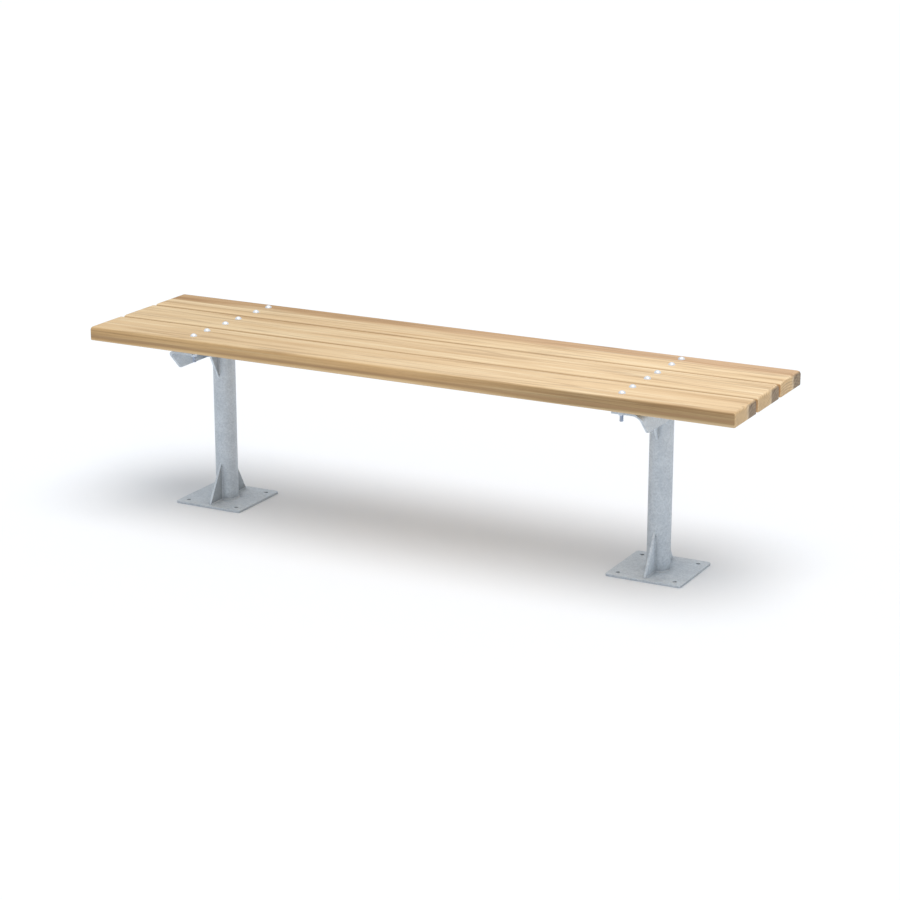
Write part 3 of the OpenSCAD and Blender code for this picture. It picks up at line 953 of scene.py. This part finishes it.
class BENCH_OT_bolts(bpy.types.Operator):
    """Model the twelve carriage bolts with their domed heads, square necks and threads"""

    bl_idname = "bench.bolts"
    bl_label = "Carriage Bolts"

    def execute(self, context):
        sizes = context.scene.bench_sizes
        colours = context.scene.bench_colours
        bright = zinc_plated("bright_zinc", colours.head, metallic=0.4, rough=0.3, film_tone=0.92)
        dull = zinc_plated("thread_zinc", colours.thread, metallic=0.8, rough=0.4, film_tone=0.8)
        for side in SIDES:
            node = f"{side}_carriage_bolts"
            low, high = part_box(node)
            bolt = self.bolt(sizes, low, high)
            turn = math.radians(50)
            places = enumerate(bolt_places(side))
            bolts = join([copied(bolt, (*place, 0), turn * i) for i, place in places])
            bpy.data.objects.remove(bolt)
            bolts.name = bolts.data.name = "threaded_" + node
            wear(bolts, bright, dull)
            dull_below = seat_top() - sizes.neck
            for face in bolts.data.polygons:
                face.material_index = 1 if face.center.z < dull_below else 0
            finish_mesh(bolts)
            stands_for(bolts, "bright_zinc", node)
        return {"FINISHED"}

    def bolt(self, sizes, low, high):
        """One bolt on the Z axis."""
        head_r, head_h = (high.x - low.x) / 2, high.z - seat_top()
        dome_r = (head_r ** 2 + head_h ** 2) / (2 * head_h)
        select_nothing()
        bpy.ops.mesh.primitive_uv_sphere_add(
            segments=40, ring_count=32, radius=dome_r, location=(0, 0, high.z - dome_r)
        )
        head = named("head")
        slice_off(head, (0, 0, seat_top()), (0, 0, -1))
        radius = shank_radius()
        foot = seat_top() - sizes.neck
        neck = block("neck", (-radius, -radius, foot), (radius, radius, seat_top() + MM))
        thread_top = low.z + sizes.thread
        thread_depth = 0.61 * sizes.thread_pitch
        core_r = radius - thread_depth
        shank = rod("shank", (0, 0), radius, thread_top - MM, seat_top() - MM)
        overlap = 0.05 * MM
        core = rod("core", (0, 0), core_r + overlap, low.z + MM, thread_top)
        return join([head, neck, shank, core, self.thread(sizes, radius, core_r, low.z, thread_top)])

    def thread(self, sizes, radius, core_r, bottom, top):
        """A helical thread, cut off flat at both ends and chamfered at its tip."""
        pitch = sizes.thread_pitch
        select_nothing()
        bpy.ops.mesh.primitive_plane_add(size=1)
        thread = named("thread")
        edit(thread, "VERT")
        bpy.ops.mesh.select_all(action="SELECT")
        bpy.ops.mesh.delete(type="ONLY_FACE")
        bpy.ops.object.mode_set(mode="OBJECT")
        flank = [(core_r, 0), (radius, 0.44 * pitch), (radius, 0.56 * pitch), (core_r, pitch)]
        for vertex, (out, rise) in zip(self.in_order(thread), flank):
            vertex.co = (out, 0, bottom - 2 * pitch + rise)
        self.open_profile(thread)
        turns = math.ceil((top - bottom) / pitch) + 3
        modify(
            thread, "SCREW", angle=math.tau, screw_offset=pitch, iterations=turns, steps=24,
            render_steps=24, use_merge_vertices=True, merge_threshold=MERGE,
        )
        edit(thread)
        bpy.ops.mesh.select_all(action="SELECT")
        bpy.ops.mesh.remove_doubles(threshold=MERGE)
        bpy.ops.object.mode_set(mode="OBJECT")
        slice_off(thread, (0, 0, bottom), (0, 0, -1))
        slice_off(thread, (0, 0, top), (0, 0, 1))
        edit(thread)
        bpy.ops.mesh.select_all(action="SELECT")
        bpy.ops.mesh.normals_make_consistent(inside=False)
        spare = 0.2 * MM
        blank = rod("blank", (0, 0), radius + spare, bottom - spare, top + spare)
        select_edges(blank, lambda a, b: max(a.z, b.z) < bottom)
        bpy.ops.mesh.bevel(offset=sizes.tip_chamfer, segments=1, affect="EDGES")
        bpy.ops.object.mode_set(mode="OBJECT")
        combine(thread, blank, "INTERSECT")
        return thread

    def in_order(self, thread):
        """The plane's vertices in the order of its outline."""
        points = thread.data.vertices
        return [points[i] for i in (0, 1, 3, 2)]

    def open_profile(self, thread):
        """Takes out the edge that closes the profile, from its last point to its first."""
        edit(thread)
        bpy.ops.object.mode_set(mode="OBJECT")
        for edge in thread.data.edges:
            edge.select = set(edge.vertices) == {0, 2}
        bpy.ops.object.mode_set(mode="EDIT")
        bpy.ops.mesh.delete(type="EDGE")
        bpy.ops.object.mode_set(mode="OBJECT")


class BENCH_OT_nuts(bpy.types.Operator):
    """Give the nuts and washers their plating"""

    bl_idname = "bench.nuts"
    bl_label = "Nuts and Washers"

    def execute(self, context):
        colour = context.scene.bench_colours.nut
        plating = zinc_plated("plain_zinc", colour, metallic=0.8, rough=0.32, film_tone=0.86)
        for side in SIDES:
            for part in ("nuts", "washers"):
                wear(frame["nodes"][f"{side}_{part}"], plating)
        return {"FINISHED"}


class BENCH_OT_stage(bpy.types.Operator):
    """Set the floor, the light and the camera"""

    bl_idname = "bench.stage"
    bl_label = "Stage"

    def execute(self, context):
        stage = context.scene.bench_stage
        self.floor(stage)
        self.light(context, stage)
        self.camera(context, stage)
        context.scene.view_settings.view_transform = "Standard"
        return {"FINISHED"}

    def floor(self, stage):
        select_nothing()
        bpy.ops.mesh.primitive_plane_add(size=stage.floor_size)
        floor = named("floor")
        m = Finish("pale_floor")
        colour = (*stage.floor_colour, 1)
        m.put(m.shader, {"Base Color": colour, "Roughness": 0.9, "Specular IOR Level": 0.0})
        wear(floor, m.material)

    def light(self, context, stage):
        world = bpy.data.worlds.new("studio")
        world.use_nodes = True
        sky = world.node_tree.nodes["Background"]
        sky.inputs["Color"].default_value = (*stage.sky_colour, 1)
        sky.inputs["Strength"].default_value = stage.sky
        context.scene.world = world
        bpy.ops.object.light_add(type="SUN", location=(2, -1, 4))
        key = context.object
        key.name = "key"
        key.data.energy = stage.key
        key.data.angle = stage.key_softness
        key.data.color = stage.key_colour
        key.rotation_mode = "QUATERNION"
        key.rotation_quaternion = Vector(stage.key_direction).to_track_quat("-Z", "Y")

    def camera(self, context, stage):
        low, high = CAD_BOX
        aim = (low + high) / 2 + Vector(stage.aim)
        level = math.cos(stage.elevation)
        back = Vector((
            math.sin(stage.azimuth) * level, -math.cos(stage.azimuth) * level, math.sin(stage.elevation)
        ))
        bpy.ops.object.camera_add(location=aim + back * stage.distance)
        camera = context.object
        camera.data.lens = stage.lens
        camera.data.clip_end = 200
        camera.rotation_mode = "QUATERNION"
        camera.rotation_quaternion = (-back).to_track_quat("-Z", "Y")
        context.scene.camera = camera


OPERATORS = (
    BENCH_OT_planks,
    BENCH_OT_base_plates,
    BENCH_OT_posts,
    BENCH_OT_welds,
    BENCH_OT_gussets,
    BENCH_OT_cross_arms,
    BENCH_OT_bolts,
    BENCH_OT_nuts,
    BENCH_OT_stage,
)


class BENCH_PT_panel(bpy.types.Panel):
    """The bench's operators, sizes and colours"""

    bl_label = "Backless Bench"
    bl_idname = "BENCH_PT_panel"
    bl_space_type = "VIEW_3D"
    bl_region_type = "UI"
    bl_category = "Bench"

    def draw(self, context):
        for operator in OPERATORS:
            self.layout.operator(operator.bl_idname)
        for group in (context.scene.bench_sizes, context.scene.bench_colours, context.scene.bench_stage):
            column = self.layout.column()
            for name in group.bl_rna.properties.keys():
                if name not in ("rna_type", "name"):
                    column.prop(group, name)


GROUPS = {"bench_sizes": BenchSizes, "bench_colours": BenchColours, "bench_stage": BenchStage}


def register():
    for cls in (*GROUPS.values(), *OPERATORS, BENCH_PT_panel):
        bpy.utils.register_class(cls)
    for name, group in GROUPS.items():
        setattr(bpy.types.Scene, name, bpy.props.PointerProperty(type=group))


def unregister():
    for name in GROUPS:
        delattr(bpy.types.Scene, name)
    for cls in reversed((*GROUPS.values(), *OPERATORS, BENCH_PT_panel)):
        bpy.utils.unregister_class(cls)


def main():
    register()
    bpy.ops.bench.planks()
    bpy.ops.bench.base_plates()
    bpy.ops.bench.posts()
    bpy.ops.bench.welds()
    bpy.ops.bench.gussets()
    bpy.ops.bench.cross_arms()
    bpy.ops.bench.bolts()
    bpy.ops.bench.nuts()
    bpy.ops.bench.stage()


if __name__ == "__main__":
    main()
